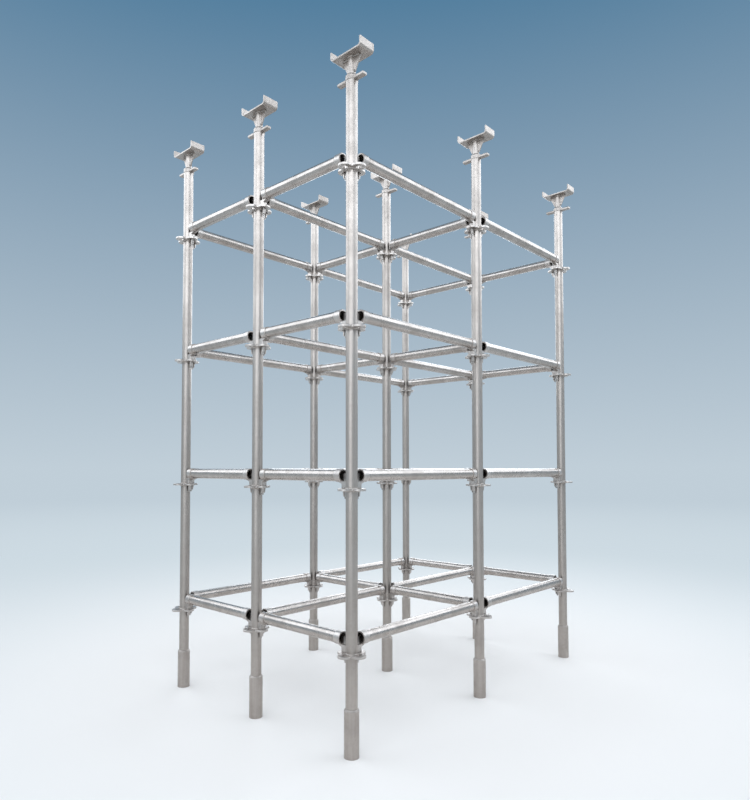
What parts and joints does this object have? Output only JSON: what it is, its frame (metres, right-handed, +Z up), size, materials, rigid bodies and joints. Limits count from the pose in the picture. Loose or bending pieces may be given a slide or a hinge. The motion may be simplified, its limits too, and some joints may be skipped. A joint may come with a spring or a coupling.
{
  "type": "ring lock scaffold tower",
  "caption": "Ring lock scaffold standards with rosettes, joined by wedge locked ledgers, with screw jack U-heads on top and socket sleeves at the foot.",
  "frame": {"origin": "on the ground, in the middle of the grid of standards", "axes": "+X along the long bays, +Y along the short bays, +Z up"},
  "size_m": [1.965, 1.368, 2.8273],
  "materials": {
    "standard_tubes": "hot-dip galvanised",
    "rosettes": "hot-dip galvanised",
    "base_sleeves": "hot-dip galvanised",
    "ledger_tubes": "hot-dip galvanised",
    "ledger_heads": "hot-dip galvanised",
    "wedges": "hot-dip galvanised",
    "jack_screws": "hot-dip galvanised",
    "jack_nuts": "hot-dip galvanised",
    "u_heads": "hot-dip galvanised"
  },
  "bodies": {
    "frame": {"standard_tube_a1": "standard_tubes", "rosettes_a1": "rosettes", "standard_tube_a2": "standard_tubes", "rosettes_a2": "rosettes", "standard_tube_a3": "standard_tubes", "rosettes_a3": "rosettes", "standard_tube_b1": "standard_tubes", "rosettes_b1": "rosettes", "standard_tube_b2": "standard_tubes", "rosettes_b2": "rosettes", "standard_tube_b3": "standard_tubes", "rosettes_b3": "rosettes", "standard_tube_c1": "standard_tubes", "rosettes_c1": "rosettes", "standard_tube_c2": "standard_tubes", "rosettes_c2": "rosettes", "standard_tube_c3": "standard_tubes", "rosettes_c3": "rosettes", "base_sleeves_row_a": "base_sleeves", "base_sleeves_row_b": "base_sleeves", "base_sleeves_row_c": "base_sleeves", "ledger_tubes_level_1": "ledger_tubes", "ledger_heads_level_1": "ledger_heads", "wedges_level_1": "wedges", "ledger_tubes_level_2": "ledger_tubes", "ledger_heads_level_2": "ledger_heads", "wedges_level_2": "wedges", "ledger_tubes_level_3": "ledger_tubes", "ledger_heads_level_3": "ledger_heads", "wedges_level_3": "wedges", "ledger_tubes_level_4": "ledger_tubes", "ledger_heads_level_4": "ledger_heads", "wedges_level_4": "wedges"},
    "nut_a1": {"jack_nut_a1": "jack_nuts"},
    "jack_a1": {"jack_screw_a1": "jack_screws", "u_head_a1": "u_heads"},
    "nut_a2": {"jack_nut_a2": "jack_nuts"},
    "jack_a2": {"jack_screw_a2": "jack_screws", "u_head_a2": "u_heads"},
    "nut_a3": {"jack_nut_a3": "jack_nuts"},
    "jack_a3": {"jack_screw_a3": "jack_screws", "u_head_a3": "u_heads"},
    "nut_b1": {"jack_nut_b1": "jack_nuts"},
    "jack_b1": {"jack_screw_b1": "jack_screws", "u_head_b1": "u_heads"},
    "nut_b2": {"jack_nut_b2": "jack_nuts"},
    "jack_b2": {"jack_screw_b2": "jack_screws", "u_head_b2": "u_heads"},
    "nut_b3": {"jack_nut_b3": "jack_nuts"},
    "jack_b3": {"jack_screw_b3": "jack_screws", "u_head_b3": "u_heads"},
    "nut_c1": {"jack_nut_c1": "jack_nuts"},
    "jack_c1": {"jack_screw_c1": "jack_screws", "u_head_c1": "u_heads"},
    "nut_c2": {"jack_nut_c2": "jack_nuts"},
    "jack_c2": {"jack_screw_c2": "jack_screws", "u_head_c2": "u_heads"},
    "nut_c3": {"jack_nut_c3": "jack_nuts"},
    "jack_c3": {"jack_screw_c3": "jack_screws", "u_head_c3": "u_heads"}
  },
  "joints": [
    {"name": "nut_a1_turn", "type": "hinge", "parent": "frame", "child": "nut_a1", "pos_m": [-0.915, -0.6, 2.7033], "axis": [0, 0, -1], "range_deg": [0, 13500]},
    {"name": "jack_a1_lift", "type": "slide", "parent": "frame", "child": "jack_a1", "axis": [0, 0, 1], "range_m": [0, 0.3]},
    {"name": "nut_a2_turn", "type": "hinge", "parent": "frame", "child": "nut_a2", "pos_m": [0, -0.6, 2.7033], "axis": [0, 0, -1], "range_deg": [0, 13500]},
    {"name": "jack_a2_lift", "type": "slide", "parent": "frame", "child": "jack_a2", "axis": [0, 0, 1], "range_m": [0, 0.3]},
    {"name": "nut_a3_turn", "type": "hinge", "parent": "frame", "child": "nut_a3", "pos_m": [0.915, -0.6, 2.7033], "axis": [0, 0, -1], "range_deg": [0, 13500]},
    {"name": "jack_a3_lift", "type": "slide", "parent": "frame", "child": "jack_a3", "axis": [0, 0, 1], "range_m": [0, 0.3]},
    {"name": "nut_b1_turn", "type": "hinge", "parent": "frame", "child": "nut_b1", "pos_m": [-0.915, 0, 2.7033], "axis": [0, 0, -1], "range_deg": [0, 13500]},
    {"name": "jack_b1_lift", "type": "slide", "parent": "frame", "child": "jack_b1", "axis": [0, 0, 1], "range_m": [0, 0.3]},
    {"name": "nut_b2_turn", "type": "hinge", "parent": "frame", "child": "nut_b2", "pos_m": [0, 0, 2.7033], "axis": [0, 0, -1], "range_deg": [0, 13500]},
    {"name": "jack_b2_lift", "type": "slide", "parent": "frame", "child": "jack_b2", "axis": [0, 0, 1], "range_m": [0, 0.3]},
    {"name": "nut_b3_turn", "type": "hinge", "parent": "frame", "child": "nut_b3", "pos_m": [0.915, 0, 2.7033], "axis": [0, 0, -1], "range_deg": [0, 13500]},
    {"name": "jack_b3_lift", "type": "slide", "parent": "frame", "child": "jack_b3", "axis": [0, 0, 1], "range_m": [0, 0.3]},
    {"name": "nut_c1_turn", "type": "hinge", "parent": "frame", "child": "nut_c1", "pos_m": [-0.915, 0.6, 2.7033], "axis": [0, 0, -1], "range_deg": [0, 13500]},
    {"name": "jack_c1_lift", "type": "slide", "parent": "frame", "child": "jack_c1", "axis": [0, 0, 1], "range_m": [0, 0.3]},
    {"name": "nut_c2_turn", "type": "hinge", "parent": "frame", "child": "nut_c2", "pos_m": [0, 0.6, 2.7033], "axis": [0, 0, -1], "range_deg": [0, 13500]},
    {"name": "jack_c2_lift", "type": "slide", "parent": "frame", "child": "jack_c2", "axis": [0, 0, 1], "range_m": [0, 0.3]},
    {"name": "nut_c3_turn", "type": "hinge", "parent": "frame", "child": "nut_c3", "pos_m": [0.915, 0.6, 2.7033], "axis": [0, 0, -1], "range_deg": [0, 13500]},
    {"name": "jack_c3_lift", "type": "slide", "parent": "frame", "child": "jack_c3", "axis": [0, 0, 1], "range_m": [0, 0.3]}
  ],
  "couplings": [
    {"joint": "jack_a1_lift", "follows": "nut_a1_turn", "m_per_rad": 0.0012732},
    {"joint": "jack_a2_lift", "follows": "nut_a2_turn", "m_per_rad": 0.0012732},
    {"joint": "jack_a3_lift", "follows": "nut_a3_turn", "m_per_rad": 0.0012732},
    {"joint": "jack_b1_lift", "follows": "nut_b1_turn", "m_per_rad": 0.0012732},
    {"joint": "jack_b2_lift", "follows": "nut_b2_turn", "m_per_rad": 0.0012732},
    {"joint": "jack_b3_lift", "follows": "nut_b3_turn", "m_per_rad": 0.0012732},
    {"joint": "jack_c1_lift", "follows": "nut_c1_turn", "m_per_rad": 0.0012732},
    {"joint": "jack_c2_lift", "follows": "nut_c2_turn", "m_per_rad": 0.0012732},
    {"joint": "jack_c3_lift", "follows": "nut_c3_turn", "m_per_rad": 0.0012732}
  ]
}
